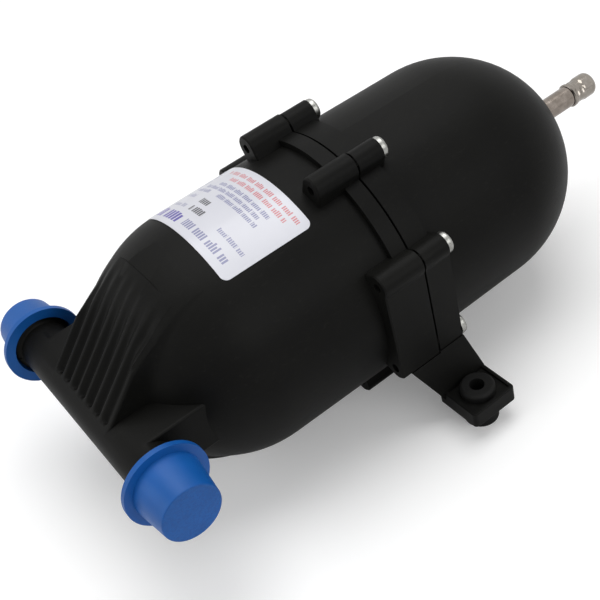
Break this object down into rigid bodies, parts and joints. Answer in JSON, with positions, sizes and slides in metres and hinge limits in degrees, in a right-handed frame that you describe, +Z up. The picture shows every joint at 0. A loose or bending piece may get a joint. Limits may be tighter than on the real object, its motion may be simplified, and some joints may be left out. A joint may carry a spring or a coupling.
{
  "type": "accumulator tank",
  "caption": "Small two-piece plastic water accumulator tank with a rubber diaphragm, cross ports, capped air valve and grommet feet.",
  "frame": {"origin": "midway between the two foot bolt holes, on the plane under the rubber grommets that the tank stands on", "axes": "+X along the tank towards the air valve, the ports open along +Y and -Y, +Z up away from the mounting surface"},
  "size_m": [0.2511, 0.1394, 0.1023],
  "materials": {
    "moulding": "black glass-filled nylon, fine moulded satin",
    "screws": "zinc plated",
    "rubber": "moulded rubber",
    "membrane": "smooth moulded rubber",
    "port_caps": "soft blue polythene, semi-gloss",
    "valve_metal": "nickel plated brass, turned",
    "cap_metal": "nickel plated, bright",
    "brass_parts": "turned brass",
    "spring_wire": "drawn steel wire",
    "label": "printed film with a soft sheen"
  },
  "bodies": {
    "tank": {"front_shell": "moulding", "rear_shell": "moulding", "flange_screw_1": "screws", "flange_screw_2": "screws", "flange_screw_3": "screws", "flange_screw_4": "screws", "flange_screw_5": "screws", "flange_screw_6": "screws", "flange_screw_7": "screws", "flange_screw_8": "screws", "foot_grommet_near": "rubber", "foot_grommet_far": "rubber", "valve_stem": "valve_metal", "label": "label", "diaphragm": "membrane", "stem_seal": "rubber", "core_body": "brass_parts", "core_spring": "spring_wire"},
    "port_cap_near": {"port_cap_near": "port_caps"},
    "port_cap_far": {"port_cap_far": "port_caps"},
    "valve_cap": {"valve_cap": "cap_metal", "cap_seal": "rubber"},
    "core_pin": {"core_pin": "brass_parts", "core_seal": "rubber"}
  },
  "joints": [
    {"name": "port_cap_near_pull", "type": "slide", "parent": "tank", "child": "port_cap_near", "axis": [0, -1, 0], "range_m": [0, 0.03]},
    {"name": "port_cap_far_pull", "type": "slide", "parent": "tank", "child": "port_cap_far", "axis": [0, 1, 0], "range_m": [0, 0.03]},
    {"name": "valve_cap_off", "type": "slide", "parent": "tank", "child": "valve_cap", "axis": [1, 0, 0], "range_m": [0, 0.018]},
    {"name": "core_pin_press", "type": "slide", "parent": "tank", "child": "core_pin", "axis": [-1, 0, 0], "range_m": [0, 0.0012], "stiffness_N_per_m": 800, "springref_m": -0.001, "deforming": ["core_spring"]}
  ]
}
